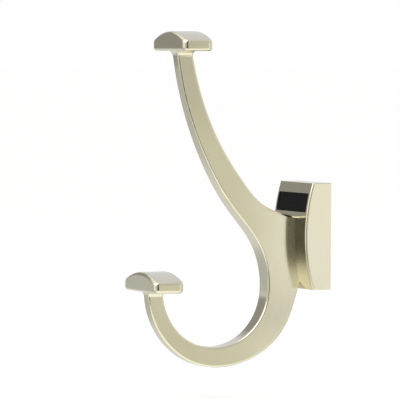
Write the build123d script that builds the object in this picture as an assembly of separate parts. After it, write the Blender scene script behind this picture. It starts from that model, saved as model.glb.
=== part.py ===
from build123d import *
import math
import os

# Double coat hook in satin nickel, in millimetres.
# The wall is the plane y = 0 and the hook projects towards -Y.
# X runs across the hook, which is symmetric about x = 0, and Z is up.
# The origin is the middle of the wall plate's back, on the wall.

# Wall plate: a hollow casting with a front that bulges from top to bottom
plate_width = 33.2
plate_height = 48.0
plate_edge_depth = 9.1
plate_crown_rise = 3.6
plate_side_wall = 2.2
plate_front_wall = 2.8
plate_side_round = 0.9
plate_end_round = 0.4
plate_inner_round = 1.0

# Dark inlay in a shallow pocket above the arm
pocket_side_land = 1.7
pocket_from_top = 4.65
pocket_above_arm = 2.15
pocket_depth = 1.2
pocket_corner_round = 0.9
inlay_set_back = 0.55
inlay_side_gap = 0.04

# Arm: one casting, wide at the plate and slim towards both tips
arm_base_width = 11.4
arm_tip_width = 5.6
taper_end_reach = 71.0
taper_bulge = 0.25
taper_blend_radius = 260.0
arm_top_at_plate = 8.7
arm_bottom_at_plate = -21.3
arm_edge_round = 0.95
upper_tip_reach = 66.45
upper_cap_underside = 82.9
lower_tip_reach = 79.8
lower_cap_underside = -23.85
tip_thickness = 7.45
tip_burial = 2.0

# Side view of the arm, as (distance from the wall, height)
front_edge_points = [
    (65.88, 61.5),
    (57.42, 37.75),
    (42.1, 11.9),
    (29.6, -4.65),
    (25.6, -18.5),
    (27.3, -33.0),
    (36.7, -44.9),
    (50.7, -49.3),
    (63.8, -45.8),
    (72.5, -36.8),
]
back_edge_points = [
    (58.4, 65.0),
    (47.4, 39.1),
    (37.2, 24.0),
    (27.5, 14.0),
    (19.2, 10.4),
]
loop_outer_points = [
    (11.9, -28.5),
    (17.1, -41.2),
    (28.5, -52.4),
    (43.2, -57.9),
    (57.7, -57.5),
    (69.8, -51.65),
    (79.1, -40.85),
]

# End caps: a flat underside, short upright ends, rounded corners and an arched top
cap_width = 34.9
cap_depth = 14.4
cap_height = 8.85
cap_arch_rise = 4.25
cap_corner_round = 2.6
cap_rim_round = 1.7
cap_foot_round = 1.5
upper_cap_set_back = 0.55
lower_cap_set_back = 0.25

# Neck under each cap: the tip flares out to the sides, and less to front and back
neck_height = 2.6
neck_side_spread = 2.4
neck_front_spread = 1.6
neck_end_angle = 80.0
neck_sections = 6
neck_burial = 0.05

# Screws that hold the arm, driven from inside the plate
arm_screw_heights = (1.5, -14.5)
arm_screw_radius = 2.0
arm_screw_grip = 8.0
arm_screw_head_radius = 3.5
arm_screw_head_height = 2.2
arm_screw_drive_width = 2.5
arm_screw_drive_depth = 1.3
arm_screw_hole_gap = 0.2
thread_gap = 0.05
screw_edge_break = 0.35

# Wall bracket that hides inside the plate
bracket_width = 22.0
bracket_thickness = 1.6
bracket_corner_round = 1.5
flange_reach = 5.6
hook_lip_height = 1.1
hook_lip_thickness = 1.5
rib_thickness = 1.2
rib_height = 2.2
bracket_gap = 0.3
bracket_foot_gap = 0.9
wall_hole_spacing = 25.4
wall_hole_radius = 2.3

# Set screw that locks the plate on the bracket from below
set_screw_radius = 2.0
set_screw_length = 6.0
set_screw_socket_width = 2.0
set_screw_socket_depth = 2.5
set_screw_recess = 0.4
set_screw_from_wall = 4.0
set_screw_tip_gap = 0.25
boss_wall = 1.8
boss_height = 1.6

plate_half_height = plate_height / 2
crown_radius = (plate_half_height**2 + plate_crown_rise**2) / (2 * plate_crown_rise)
plate_depth = plate_edge_depth + plate_crown_rise
crown_axis_y = crown_radius - plate_depth
pocket_width = plate_width - 2 * pocket_side_land
pocket_top = plate_half_height - pocket_from_top
pocket_bottom = arm_top_at_plate + pocket_above_arm


def crown_y(height, inward=0.0):
    """Where the plate's front lies at a height, or a surface that far inside it."""
    return crown_axis_y - math.sqrt((crown_radius - inward) ** 2 - height**2)


def crowned_block(width, height, inward=0.0):
    """A block from the wall out to the crown, or out to a surface inside the crown."""
    top = height / 2
    edge = crown_y(top, inward)
    with BuildPart() as block:
        with BuildSketch(Plane.YZ):
            with BuildLine():
                Line((0, top), (edge, top))
                ThreePointArc((edge, top), (crown_y(0, inward), 0), (edge, -top))
                Line((edge, -top), (0, -top))
                Line((0, -top), (0, top))
            make_face()
        extrude(amount=width / 2, both=True)
    return block.part


def pocket_prism(shrink=0.0):
    """The rounded rectangle of the pocket, run through the plate's front."""
    outline = RectangleRounded(
        pocket_width - 2 * shrink,
        pocket_top - pocket_bottom - 2 * shrink,
        pocket_corner_round - shrink,
    )
    face = Plane.XZ * Pos(0, (pocket_top + pocket_bottom) / 2) * outline
    return extrude(face, plate_depth + plate_front_wall)


def upright_cylinder(radius, low, high, y):
    """A cylinder along Z between two heights, on x = 0."""
    return Pos(0, y, (low + high) / 2) * Cylinder(radius, high - low)


def outward_cylinder(radius, near, far, height):
    """A cylinder along Y between two places in y, on x = 0."""
    return Pos(0, (near + far) / 2, height) * Rot(90, 0, 0) * Cylinder(radius, far - near)


cavity_half_height = plate_half_height - plate_side_wall
arm_screw_seat_y = -(plate_depth - plate_front_wall)
set_screw_low = -plate_half_height + set_screw_recess
set_screw_high = set_screw_low + set_screw_length
bracket_top = cavity_half_height - rib_height - bracket_gap
bracket_bottom = -cavity_half_height + boss_height + bracket_foot_gap


def build_wall_plate():
    """The hollow plate, with its pocket, screw seats, hanging rib and screw boss."""
    outer = crowned_block(plate_width, plate_height)
    crown_face = outer.faces().sort_by(Axis.Y)[0]
    sides = [e for e in crown_face.edges() if e.geom_type != GeomType.LINE]
    outer = outer.fillet(plate_side_round, sides)
    ends = [
        e
        for e in outer.edges().filter_by(GeomType.LINE)
        if abs(abs(e.center().Z) - plate_half_height) < plate_end_round / 2
        and e.center().Y < -plate_edge_depth + plate_end_round / 2
    ]
    outer = outer.fillet(plate_end_round, ends)
    cavity = crowned_block(
        plate_width - 2 * plate_side_wall,
        plate_height - 2 * plate_side_wall,
        plate_front_wall,
    )
    corners = [e for e in cavity.edges().filter_by(Axis.Y) if e.length > plate_inner_round]
    cavity = cavity.fillet(plate_inner_round, corners)
    plate = outer - cavity
    rib = Box(
        bracket_width,
        rib_thickness,
        rib_height + plate_side_wall / 2,
        align=(Align.CENTER, Align.MIN, Align.MIN),
    )
    rib_front = -(flange_reach - hook_lip_thickness - bracket_gap)
    plate += Pos(0, rib_front, bracket_top + bracket_gap) * rib
    boss = Box(
        2 * (set_screw_radius + boss_wall),
        set_screw_from_wall + set_screw_radius + boss_wall - bracket_thickness - bracket_gap,
        boss_height + plate_side_wall / 2,
        align=(Align.CENTER, Align.MAX, Align.MAX),
    )
    boss_back = -bracket_thickness - bracket_gap
    plate += Pos(0, boss_back, -cavity_half_height + boss_height) * boss
    for height in arm_screw_heights:
        hole_radius = arm_screw_radius + arm_screw_hole_gap
        seat_radius = arm_screw_head_radius + arm_screw_hole_gap
        plate -= outward_cylinder(hole_radius, -plate_depth - plate_front_wall, arm_screw_seat_y, height)
        plate -= outward_cylinder(seat_radius, arm_screw_seat_y, arm_screw_seat_y + plate_front_wall, height)
    plate -= upright_cylinder(
        set_screw_radius + thread_gap,
        -plate_half_height - boss_height,
        -cavity_half_height + 2 * boss_height,
        -set_screw_from_wall,
    )
    floor = crowned_block(plate_width, plate_height, pocket_depth)
    plate -= pocket_prism() - floor
    return plate


def build_inlay():
    """The dark strip on the pocket's floor, its face below the plate's own."""
    floor = crowned_block(plate_width, plate_height, pocket_depth)
    face = crowned_block(plate_width, plate_height, inlay_set_back)
    return (pocket_prism(inlay_side_gap) & face) - floor


def cap_solid(reach, underside):
    """One end cap, arched across and centred on its tip."""
    half = cap_width / 2
    shoulder = cap_height - cap_arch_rise
    with BuildPart() as cap:
        with BuildSketch(Plane.XY):
            RectangleRounded(cap_width, cap_depth, cap_corner_round)
        extrude(amount=cap_height)
        with BuildSketch(Plane.XZ):
            with BuildLine():
                Line((-half, 0), (half, 0))
                Line((half, 0), (half, shoulder))
                ThreePointArc((half, shoulder), (0, cap_height), (-half, shoulder))
                Line((-half, shoulder), (-half, 0))
            make_face()
        extrude(amount=cap_depth, both=True, mode=Mode.INTERSECT)
        rim = [e for e in edges() if e.center().Z > shoulder - 0.1]
        rim = [e for e in rim if abs(e.tangent_at(0.5).Z) < 0.9]
        fillet(rim, cap_rim_round)
        foot = [e for e in edges() if abs(e.center().Z) < 0.01]
        fillet(foot, cap_foot_round)
    return Pos(0, -reach, underside) * cap.part


def tip_box(arm, reach, height):
    """The box round a thin slice of the arm near one tip."""
    slab = Box(cap_width, 2 * tip_thickness, neck_burial)
    return (arm & Pos(0, -reach, height) * slab).bounding_box()


def neck_solid(arm, reach, underside):
    """The flare between one tip and its cap, with a hollow curve on every side."""
    low = tip_box(arm, reach, underside - neck_height)
    high = tip_box(arm, reach, underside)
    sections = []
    for step in range(neck_sections):
        angle = math.radians(neck_end_angle * step / (neck_sections - 1))
        rise = math.sin(angle)
        spread = 1 - math.cos(angle)
        middle = low.center() + (high.center() - low.center()) * rise
        size = low.size + (high.size - low.size) * rise
        outline = RectangleRounded(
            size.X + 2 * neck_side_spread * spread - neck_burial,
            size.Y + 2 * neck_front_spread * spread - neck_burial,
            arm_edge_round + neck_front_spread * spread,
        )
        height = underside + neck_burial - neck_height * (1 - rise)
        sections.append(Pos(0, middle.Y, height) * outline)
    return loft(sections)


def to_plane(points):
    """Side-view points as places in the Y-Z plane."""
    return [(-distance, height) for distance, height in points]


def arm_side_profile():
    """The arm's outline seen from the side."""
    half = tip_thickness / 2
    upper_end = upper_cap_underside + tip_burial
    lower_end = lower_cap_underside + tip_burial
    front = [(upper_tip_reach + half, upper_end), *front_edge_points, (lower_tip_reach - half, lower_end)]
    back = [(upper_tip_reach - half, upper_end), *back_edge_points]
    back.append((-crown_y(arm_top_at_plate), arm_top_at_plate))
    outer = [(-crown_y(arm_bottom_at_plate), arm_bottom_at_plate), *loop_outer_points]
    outer.append((lower_tip_reach + half, lower_end))
    base_middle = (arm_top_at_plate + arm_bottom_at_plate) / 2
    with BuildSketch(Plane.YZ) as profile:
        with BuildLine():
            Spline(*to_plane(front))
            Line(*to_plane([front[-1], outer[-1]]))
            Spline(*to_plane(reversed(outer)))
            ThreePointArc(
                (crown_y(arm_bottom_at_plate), arm_bottom_at_plate),
                (crown_y(base_middle), base_middle),
                (crown_y(arm_top_at_plate), arm_top_at_plate),
            )
            Spline(*to_plane(reversed(back)))
            Line(*to_plane([back[0], front[0]]))
        make_face()
    return profile.sketch


def arm_plan():
    """The arm's width seen from above: a slightly full taper, then even out to the tips."""
    base = arm_base_width / 2
    tip = arm_tip_width / 2
    reach = lower_tip_reach + 2 * tip_thickness
    middle = (base + tip) / 2 + taper_bulge
    with BuildSketch(Plane.XY) as plan:
        with BuildLine():
            ThreePointArc((base, 0), (middle, -taper_end_reach / 2), (tip, -taper_end_reach))
            Line((tip, -taper_end_reach), (tip, -reach))
            Line((tip, -reach), (-tip, -reach))
            Line((-tip, -reach), (-tip, -taper_end_reach))
            ThreePointArc((-tip, -taper_end_reach), (-middle, -taper_end_reach / 2), (-base, 0))
            Line((-base, 0), (base, 0))
        make_face()
        bends = [v for v in vertices() if abs(v.Y + taper_end_reach) < 0.01]
        fillet(bends, taper_blend_radius)
    return plan.sketch


def build_hook_arm():
    """The arm with both end caps, and two blind screw holes in its base."""
    tall = upper_cap_underside + cap_height
    deep = -lower_cap_underside + plate_height
    blank = extrude(arm_side_profile(), arm_base_width, both=True)
    tapered = blank & Pos(0, 0, -deep) * extrude(arm_plan(), tall + deep)
    arm = tapered.fillet(arm_edge_round, [e for e in tapered.edges() if is_long_corner(e)])
    necks = [
        neck_solid(arm, upper_tip_reach, upper_cap_underside),
        neck_solid(arm, lower_tip_reach, lower_cap_underside),
    ]
    caps = [
        cap_solid(upper_tip_reach - upper_cap_set_back, upper_cap_underside),
        cap_solid(lower_tip_reach - lower_cap_set_back, lower_cap_underside),
    ]
    for neck, cap in zip(necks, caps):
        arm = arm + neck + cap
    for height in arm_screw_heights:
        mouth = crown_y(height)
        arm -= outward_cylinder(
            arm_screw_radius + thread_gap,
            arm_screw_seat_y - plate_front_wall - arm_screw_grip,
            mouth + plate_front_wall,
            height,
        )
    return arm


def is_long_corner(edge):
    """True for the corners that run along the arm, and not for those at its base or ends."""
    beside_middle = abs(edge.center().X) > arm_tip_width / 4
    beyond_base = edge.center().Y < 2 * crown_y(0)
    return beside_middle and beyond_base and edge.length > 2 * tip_thickness


def build_arm_screws():
    """Two pan-head screws from the plate's inside into the arm."""
    screws = []
    for height in arm_screw_heights:
        tip = arm_screw_seat_y - plate_front_wall - arm_screw_grip + thread_gap * 10
        shank = outward_cylinder(arm_screw_radius, tip, arm_screw_seat_y, height)
        head = outward_cylinder(
            arm_screw_head_radius, arm_screw_seat_y, arm_screw_seat_y + arm_screw_head_height, height
        )
        rim = head.edges().filter_by(GeomType.CIRCLE).sort_by(Axis.Y)[-1]
        head = head.chamfer(screw_edge_break, None, [rim])
        point = shank.edges().filter_by(GeomType.CIRCLE).sort_by(Axis.Y)[0]
        shank = shank.chamfer(screw_edge_break, None, [point])
        drive_y = arm_screw_seat_y + arm_screw_head_height - arm_screw_drive_depth
        hexagon = RegularPolygon(arm_screw_drive_width / 2, 6, major_radius=False)
        drive = extrude(Plane.XZ * Pos(0, height) * hexagon, -2 * arm_screw_head_height)
        drive = Pos(0, drive_y, 0) * drive
        screws.append(shank + head - drive)
    return Compound(children=screws)


def build_bracket():
    """The bent wall bracket: a back, a top flange with a lip, and a bottom flange."""
    outline = RectangleRounded(bracket_width, bracket_top - bracket_bottom, bracket_corner_round)
    shape = extrude(Plane.XZ * Pos(0, (bracket_top + bracket_bottom) / 2) * outline, bracket_thickness)
    top = Box(bracket_width, flange_reach, bracket_thickness, align=(Align.CENTER, Align.MAX, Align.MAX))
    shape += Pos(0, 0, bracket_top) * top
    lip = Box(
        bracket_width,
        hook_lip_thickness,
        bracket_thickness + hook_lip_height,
        align=(Align.CENTER, Align.MIN, Align.MIN),
    )
    shape += Pos(0, -flange_reach, bracket_top - bracket_thickness) * lip
    low = Box(bracket_width, flange_reach, bracket_thickness, align=(Align.CENTER, Align.MAX, Align.MIN))
    shape += Pos(0, 0, bracket_bottom) * low
    for side in (1, -1):
        shape -= outward_cylinder(
            wall_hole_radius, -2 * bracket_thickness, bracket_thickness, side * wall_hole_spacing / 2
        )
    shape -= upright_cylinder(
        set_screw_radius + set_screw_tip_gap,
        bracket_bottom - bracket_thickness,
        bracket_bottom + 2 * bracket_thickness,
        -set_screw_from_wall,
    )
    return shape


def build_set_screw():
    """The headless screw in the plate's underside, with a hexagon socket."""
    screw = upright_cylinder(set_screw_radius, set_screw_low, set_screw_high, -set_screw_from_wall)
    rings = screw.edges().filter_by(GeomType.CIRCLE)
    screw = screw.chamfer(screw_edge_break, None, rings)
    hexagon = RegularPolygon(set_screw_socket_width / 2, 6, major_radius=False)
    socket = extrude(hexagon, set_screw_socket_depth)
    return screw - Pos(0, -set_screw_from_wall, set_screw_low) * socket


os.makedirs("parts", exist_ok=True)
nodes = {
    "wall_plate": build_wall_plate(),
    "black_inlay": build_inlay(),
    "hook_arm": build_hook_arm(),
    "arm_screws": build_arm_screws(),
    "wall_bracket": build_bracket(),
    "set_screw": build_set_screw(),
}
for name, shape in nodes.items():
    export_step(shape, f"parts/{name}.step")
    print(name, "volume", round(shape.volume, 1), "valid", shape.is_valid)
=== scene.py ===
import math

import bpy
from mathutils import Matrix, Vector


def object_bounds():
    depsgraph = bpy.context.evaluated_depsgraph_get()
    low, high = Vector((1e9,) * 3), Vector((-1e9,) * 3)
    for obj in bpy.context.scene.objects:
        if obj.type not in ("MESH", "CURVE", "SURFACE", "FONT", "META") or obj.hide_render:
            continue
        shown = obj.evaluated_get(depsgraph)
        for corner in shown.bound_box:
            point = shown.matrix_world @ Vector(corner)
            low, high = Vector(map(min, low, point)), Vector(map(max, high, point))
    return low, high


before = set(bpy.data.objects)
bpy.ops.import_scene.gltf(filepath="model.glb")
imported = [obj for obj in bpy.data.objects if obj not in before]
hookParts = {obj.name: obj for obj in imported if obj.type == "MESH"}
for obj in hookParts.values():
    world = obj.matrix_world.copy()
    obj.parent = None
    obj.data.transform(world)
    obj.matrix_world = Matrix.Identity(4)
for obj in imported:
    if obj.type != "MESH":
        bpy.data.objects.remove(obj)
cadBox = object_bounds()
print("loaded:", ", ".join(sorted(hookParts)))


# small helpers for node trees

def newMaterial(name):
    material = bpy.data.materials.new(name)
    material.use_nodes = True
    return material, material.node_tree, material.node_tree.nodes["Principled BSDF"]


def emptyMaterial(name):
    material = bpy.data.materials.new(name)
    material.use_nodes = True
    material.node_tree.nodes.clear()
    return material, material.node_tree


def addNode(tree, kind, **settings):
    node = tree.nodes.new(kind)
    for key, value in settings.items():
        setattr(node, key, value)
    return node


def partSpace(tree, stretch=(1, 1, 1)):
    # the part's own coordinates in metres, stretched for a grain
    place = addNode(tree, "ShaderNodeTexCoord")
    mapping = addNode(tree, "ShaderNodeMapping")
    mapping.inputs["Scale"].default_value = stretch
    tree.links.new(place.outputs["Object"], mapping.inputs["Vector"])
    return mapping.outputs["Vector"]


def addNoise(tree, space, scale, detail=2.0, roughness=0.5):
    noise = addNode(tree, "ShaderNodeTexNoise")
    noise.inputs["Scale"].default_value = scale
    noise.inputs["Detail"].default_value = detail
    noise.inputs["Roughness"].default_value = roughness
    tree.links.new(space, noise.inputs["Vector"])
    return noise.outputs["Fac"]


def spread(tree, value, low, high, fromLow=0.3, fromHigh=0.7):
    # maps a value, by default a noise's usual span, onto another range
    remap = addNode(tree, "ShaderNodeMapRange")
    remap.inputs["From Min"].default_value = fromLow
    remap.inputs["From Max"].default_value = fromHigh
    remap.inputs["To Min"].default_value = low
    remap.inputs["To Max"].default_value = high
    tree.links.new(value, remap.inputs["Value"])
    return remap.outputs["Result"]


def addMath(tree, operation, first, second=None):
    step = addNode(tree, "ShaderNodeMath", operation=operation)
    tree.links.new(first, step.inputs[0])
    if second:
        tree.links.new(second, step.inputs[1])
    return step.outputs[0]


def addDot(tree, vector, axis):
    dot = addNode(tree, "ShaderNodeVectorMath", operation="DOT_PRODUCT")
    tree.links.new(vector, dot.inputs[0])
    dot.inputs[1].default_value = axis
    return dot.outputs["Value"]


def mixColours(tree, factor, first, second):
    mix = addNode(tree, "ShaderNodeMix", data_type="RGBA")
    mix.inputs["A"].default_value = (*first, 1)
    mix.inputs["B"].default_value = (*second, 1)
    tree.links.new(factor, mix.inputs["Factor"])
    return mix.outputs["Result"]


def addBump(tree, height, depth, strength, under=None):
    bump = addNode(tree, "ShaderNodeBump")
    bump.inputs["Strength"].default_value = strength
    bump.inputs["Distance"].default_value = depth
    tree.links.new(height, bump.inputs["Height"])
    if under:
        tree.links.new(under, bump.inputs["Normal"])
    return bump.outputs["Normal"]


# satin nickel: a warm plated metal with a silky grain, a little cloudiness and fine plating pits

satinNickelLook = {
    "pale": (0.785, 0.746, 0.580),
    "deep": (0.765, 0.722, 0.550),
    "cloudScale": 55,
    "cloudDetail": 3,
    "silkScale": 900,
    "silkDetail": 3,
    "silkFineness": 0.6,
    "silkStretch": (1.0, 1.0, 0.18),
    "silkDepth": 0.000004,
    "silkStrength": 0.35,
    "pitScale": 5200,
    "pitDetail": 1,
    "pitDepth": 0.000003,
    "pitStrength": 0.3,
    "roughLow": 0.14,
    "roughHigh": 0.18,
}


def makeSatinNickel(look):
    material, tree, shader = newMaterial("satinNickel")
    plain = partSpace(tree)
    silky = partSpace(tree, look["silkStretch"])
    cloud = addNoise(tree, plain, look["cloudScale"], look["cloudDetail"])
    silk = addNoise(tree, silky, look["silkScale"], look["silkDetail"], look["silkFineness"])
    pits = addNoise(tree, plain, look["pitScale"], look["pitDetail"])
    colour = mixColours(tree, spread(tree, cloud, 0, 1), look["pale"], look["deep"])
    tree.links.new(colour, shader.inputs["Base Color"])
    rough = spread(tree, silk, look["roughLow"], look["roughHigh"])
    tree.links.new(rough, shader.inputs["Roughness"])
    grain = addBump(tree, silk, look["silkDepth"], look["silkStrength"])
    pitted = addBump(tree, pits, look["pitDepth"], look["pitStrength"], grain)
    tree.links.new(pitted, shader.inputs["Normal"])
    shader.inputs["Metallic"].default_value = 1.0
    return material


# black strip: smooth, almost matt, with a faint moulded skin

blackStripLook = {
    "dark": (0.0045, 0.0045, 0.005),
    "worn": (0.0065, 0.0065, 0.007),
    "cloudScale": 300,
    "cloudDetail": 2,
    "skinScale": 2600,
    "skinDetail": 2,
    "skinDepth": 0.00001,
    "skinStrength": 0.25,
    "roughLow": 0.42,
    "roughHigh": 0.52,
    "specular": 0.07,
}


def makeBlackStrip(look):
    material, tree, shader = newMaterial("blackStrip")
    plain = partSpace(tree)
    cloud = addNoise(tree, plain, look["cloudScale"], look["cloudDetail"])
    skin = addNoise(tree, plain, look["skinScale"], look["skinDetail"])
    colour = mixColours(tree, spread(tree, cloud, 0, 1), look["dark"], look["worn"])
    tree.links.new(colour, shader.inputs["Base Color"])
    rough = spread(tree, skin, look["roughLow"], look["roughHigh"])
    tree.links.new(rough, shader.inputs["Roughness"])
    moulded = addBump(tree, skin, look["skinDepth"], look["skinStrength"])
    tree.links.new(moulded, shader.inputs["Normal"])
    shader.inputs["Specular IOR Level"].default_value = look["specular"]
    return material


# zinc-plated steel of the bracket and the screws: bluish, with broad crystal patches

zincSteelLook = {
    "bright": (0.66, 0.68, 0.70),
    "dull": (0.50, 0.52, 0.55),
    "patchScale": 420,
    "brushScale": 1500,
    "brushDetail": 3,
    "brushStretch": (0.12, 1.0, 1.0),
    "brushDepth": 0.000008,
    "brushStrength": 0.4,
    "roughLow": 0.24,
    "roughHigh": 0.40,
}


def makeZincSteel(look):
    material, tree, shader = newMaterial("zincSteel")
    plain = partSpace(tree)
    patches = addNode(tree, "ShaderNodeTexVoronoi")
    patches.inputs["Scale"].default_value = look["patchScale"]
    tree.links.new(plain, patches.inputs["Vector"])
    brushed = partSpace(tree, look["brushStretch"])
    brush = addNoise(tree, brushed, look["brushScale"], look["brushDetail"])
    patchy = spread(tree, patches.outputs["Color"], 0, 1, 0, 1)
    colour = mixColours(tree, patchy, look["bright"], look["dull"])
    tree.links.new(colour, shader.inputs["Base Color"])
    rough = spread(tree, brush, look["roughLow"], look["roughHigh"])
    tree.links.new(rough, shader.inputs["Roughness"])
    strokes = addBump(tree, brush, look["brushDepth"], look["brushStrength"])
    tree.links.new(strokes, shader.inputs["Normal"])
    shader.inputs["Metallic"].default_value = 1.0
    return material


def dress(partNames, material):
    for name in partNames:
        part = hookParts[name]
        part.data.materials.clear()
        part.data.materials.append(material)


dress(["wall_plate", "hook_arm"], makeSatinNickel(satinNickelLook))
dress(["black_inlay"], makeBlackStrip(blackStripLook))
dress(["wall_bracket", "arm_screws", "set_screw"], makeZincSteel(zincSteelLook))
print("finishes done")


# white studio: panels and near cards that only the metal mirrors, a pale floor and a soft lamp

studio = {
    "worldLight": 0.8,
    "mirrorBase": (1.02, 1.02, 1.02),
    "floorDrop": 0.014,
    "floorSize": 40.0,
    "floorColour": (0.86, 0.86, 0.855),
    "floorGlow": 0.3,
    "lampAt": (0.25, -0.55, 0.95),
    "lampSize": 0.7,
    "lampPower": 3.0,
}
floorHeight = cadBox[0][2] - studio["floorDrop"]

panels = {
    # name: azimuth from +X towards -Y, half width, lowest and highest elevation, soft edge,
    # all in degrees, and colour; a later panel covers an earlier one
    "ceiling": (0, 180, 62, 90, 14, (0.74, 0.75, 0.78)),
    "backLeft": (-135, 52, 4, 90, 18, (0.74, 0.76, 0.84)),
    "wallAbove": (-35, 30, 18, 62, 14, (0.62, 0.61, 0.60)),
    "nearFloor": (5, 66, -90, -8, 8, (1.22, 1.21, 1.17)),
    "leftFloor": (126, 42, -40, 4, 14, (0.54, 0.55, 0.56)),
    "farLeftFloor": (-160, 32, -50, 0, 14, (0.77, 0.78, 0.80)),
    "leftFloorNear": (130, 50, -90, -40, 14, (0.82, 0.82, 0.82)),
    "lowFront": (64, 24, -22, 8, 10, (0.62, 0.61, 0.57)),
    "brightBox": (78, 32, 18, 56, 10, (2.2, 2.16, 2.05)),
    "brightSide": (98, 15, -12, 20, 8, (1.33, 1.30, 1.24)),
    "darkRoom": (17, 23, -10, 52, 10, (0.07, 0.07, 0.07)),
    "behindRight": (-82, 36, -34, 26, 10, (0.76, 0.76, 0.75)),
    "highLeft": (132, 26, 28, 62, 10, (1.15, 1.14, 1.11)),
    "leftDark": (166, 20, 7, 27, 10, (0.27, 0.27, 0.275)),
    "underBack": (-136, 14, -55, -8, 8, (0.30, 0.30, 0.28)),
}

cards = {
    # name: azimuth from +X towards -Y in degrees, distance, sideways shift, height of the
    # bottom edge, width, height, and colour
    "nearCard": (-25, 0.35, 0.196, -0.160, 0.30, 0.207, (0.74, 0.73, 0.645)),
    "nearCardAbove": (-25, 0.35, 0.196, 0.047, 0.30, 0.30, (0.58, 0.57, 0.525)),
    "leftCard": (155, 0.50, 0.0, 0.010, 0.34, 0.36, (0.32, 0.32, 0.32)),
}

floorShade = {
    # a dark stretch of floor past the lit part, that only the metal mirrors
    "azimuth": 17,
    "nearEnd": 0.30,
    "farEnd": 1.15,
    "width": 0.62,
    "lift": 0.001,
    "colour": (0.07, 0.07, 0.07),
}


def seenAsBackground(tree):
    # 1 for camera, glossy and transmission rays, 0 for the light that falls on surfaces
    path = addNode(tree, "ShaderNodeLightPath")
    total = path.outputs["Is Camera Ray"]
    for ray in ("Is Glossy Ray", "Is Transmission Ray"):
        total = addMath(tree, "MAXIMUM", total, path.outputs[ray])
    return total


def panelMask(tree, place, azimuth, halfWidth, low, high, soft):
    # 1 inside the panel as seen from the part, fading to 0 over the soft edge
    turn = math.radians(azimuth)
    ahead = addDot(tree, place, (math.cos(turn), -math.sin(turn), 0))
    aside = addDot(tree, place, (math.sin(turn), math.cos(turn), 0))
    sideways = addMath(tree, "ABSOLUTE", addMath(tree, "ARCTAN2", aside, ahead))
    lift = addMath(tree, "ARCSINE", addDot(tree, place, (0, 0, 1)))
    half = math.radians(soft) / 2
    edges = (
        (sideways, math.radians(halfWidth) + half, math.radians(halfWidth) - half),
        (lift, math.radians(low) - half, math.radians(low) + half),
        (lift, math.radians(high) + half, math.radians(high) - half),
    )
    mask = None
    for value, outer, inner in edges:
        edge = addNode(tree, "ShaderNodeMapRange", interpolation_type="SMOOTHSTEP")
        edge.inputs["From Min"].default_value = outer
        edge.inputs["From Max"].default_value = inner
        tree.links.new(value, edge.inputs["Value"])
        inside = edge.outputs["Result"]
        mask = addMath(tree, "MULTIPLY", mask, inside) if mask else inside
    return mask


def makeWorld():
    world = bpy.data.worlds.new("studioWorld")
    world.use_nodes = True
    tree = world.node_tree
    background = tree.nodes["Background"]
    place = addNode(tree, "ShaderNodeTexCoord").outputs["Generated"]
    mirrored = None
    for panel in panels.values():
        mix = addNode(tree, "ShaderNodeMix", data_type="RGBA")
        mix.inputs["A"].default_value = (*studio["mirrorBase"], 1)
        mix.inputs["B"].default_value = (*panel[-1], 1)
        if mirrored:
            tree.links.new(mirrored, mix.inputs["A"])
        tree.links.new(panelMask(tree, place, *panel[:-1]), mix.inputs["Factor"])
        mirrored = mix.outputs["Result"]
    path = addNode(tree, "ShaderNodeLightPath")
    seen = addNode(tree, "ShaderNodeMix", data_type="RGBA")
    tree.links.new(path.outputs["Is Glossy Ray"], seen.inputs["Factor"])
    seen.inputs["A"].default_value = (1, 1, 1, 1)
    tree.links.new(mirrored, seen.inputs["B"])
    tree.links.new(seen.outputs["Result"], background.inputs["Color"])
    level = spread(tree, seenAsBackground(tree), studio["worldLight"], 1.0, 0, 1)
    tree.links.new(level, background.inputs["Strength"])
    bpy.context.scene.world = world


def makePlane(name, corners):
    mesh = bpy.data.meshes.new(name)
    mesh.from_pydata(corners, [], [(0, 1, 2, 3)])
    plane = bpy.data.objects.new(name, mesh)
    bpy.context.scene.collection.objects.link(plane)
    return plane


def makeFloor():
    half = studio["floorSize"] / 2
    corners = [(x * half, y * half, floorHeight) for x, y in ((-1, -1), (1, -1), (1, 1), (-1, 1))]
    floor = makePlane("paleFloor", corners)
    material, tree = emptyMaterial("paleFloor")
    out = addNode(tree, "ShaderNodeOutputMaterial")
    lit = addNode(tree, "ShaderNodeBsdfDiffuse")
    lit.inputs["Color"].default_value = (*studio["floorColour"], 1)
    glow = addNode(tree, "ShaderNodeEmission")
    whenSeen = spread(tree, seenAsBackground(tree), 0, studio["floorGlow"], 0, 1)
    tree.links.new(whenSeen, glow.inputs["Strength"])
    both = addNode(tree, "ShaderNodeAddShader")
    tree.links.new(lit.outputs[0], both.inputs[0])
    tree.links.new(glow.outputs[0], both.inputs[1])
    tree.links.new(both.outputs[0], out.inputs["Surface"])
    floor.data.materials.append(material)
    floor.visible_glossy = False


def makeGlow(name, corners, colour):
    # an even glow that neither the camera nor the lit surfaces see
    card = makePlane(name, corners)
    material, tree = emptyMaterial(name)
    out = addNode(tree, "ShaderNodeOutputMaterial")
    glow = addNode(tree, "ShaderNodeEmission")
    glow.inputs["Color"].default_value = (*colour, 1)
    tree.links.new(glow.outputs[0], out.inputs["Surface"])
    card.data.materials.append(material)
    card.visible_camera = False
    card.visible_shadow = False
    card.visible_diffuse = False


def floorDirections(azimuth):
    # level unit vectors away from the part and sideways
    angle = math.radians(azimuth)
    away = Vector((math.cos(angle), -math.sin(angle), 0))
    side = Vector((-math.sin(angle), -math.cos(angle), 0))
    return away, side


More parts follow.
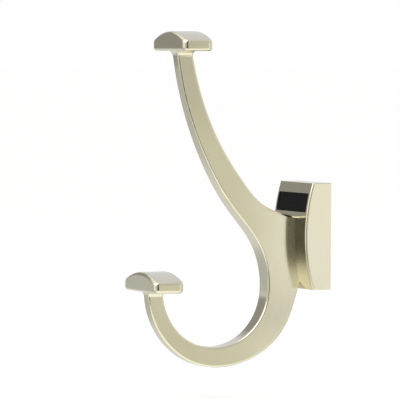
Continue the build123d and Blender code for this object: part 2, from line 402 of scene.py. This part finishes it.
def makeCard(name, azimuth, distance, shift, bottom, width, height, colour):
    away, side = floorDirections(azimuth)
    foot = away * distance + side * shift + Vector((0, 0, bottom))
    half = side * width / 2
    top = Vector((0, 0, height))
    makeGlow(name, [foot - half, foot + half, foot + half + top, foot - half + top], colour)


def makeFloorShade():
    away, side = floorDirections(floorShade["azimuth"])
    half = side * floorShade["width"] / 2
    raised = Vector((0, 0, floorHeight + floorShade["lift"]))
    near = away * floorShade["nearEnd"] + raised
    far = away * floorShade["farEnd"] + raised
    corners = [near - half, near + half, far + half, far - half]
    makeGlow("floorShade", corners, floorShade["colour"])


def makeLamp():
    light = bpy.data.lights.new("softLamp", "AREA")
    light.shape = "SQUARE"
    light.size = studio["lampSize"]
    light.energy = studio["lampPower"]
    lamp = bpy.data.objects.new("softLamp", light)
    lamp.location = studio["lampAt"]
    lamp.rotation_euler = (-Vector(studio["lampAt"])).to_track_quat("-Z", "Y").to_euler()
    bpy.context.scene.collection.objects.link(lamp)


makeWorld()
makeFloor()
for cardName, cardSizes in cards.items():
    makeCard(cardName, *cardSizes)
makeFloorShade()
makeLamp()
print("studio done")


# camera: a long lens, 65 degrees round from the front and slightly above

shot = {
    "target": (0, -0.05719, 0.01651),
    "azimuth": 65.0,
    "elevation": 2.40,
    "roll": 0.237,
    "distance": 1.6623,
    "lens": 335.4,
    "sensorWidth": 36,
}


def makeCamera():
    turn = math.radians(shot["azimuth"])
    lift = math.radians(shot["elevation"])
    back = Vector((
        math.sin(turn) * math.cos(lift),
        -math.cos(turn) * math.cos(lift),
        math.sin(lift),
    ))
    right = Vector((math.cos(turn), math.sin(turn), 0))
    up = back.cross(right)
    axes = Matrix((right, up, back)).transposed()
    axes = axes @ Matrix.Rotation(math.radians(shot["roll"]), 3, "Z")
    data = bpy.data.cameras.new("photoCamera")
    data.lens = shot["lens"]
    data.sensor_width = shot["sensorWidth"]
    camera = bpy.data.objects.new("photoCamera", data)
    stand = Vector(shot["target"]) + back * shot["distance"]
    camera.matrix_world = Matrix.Translation(stand) @ axes.to_4x4()
    bpy.context.scene.collection.objects.link(camera)
    bpy.context.scene.camera = camera


makeCamera()
bpy.context.scene.view_settings.view_transform = "Standard"
print("camera done")
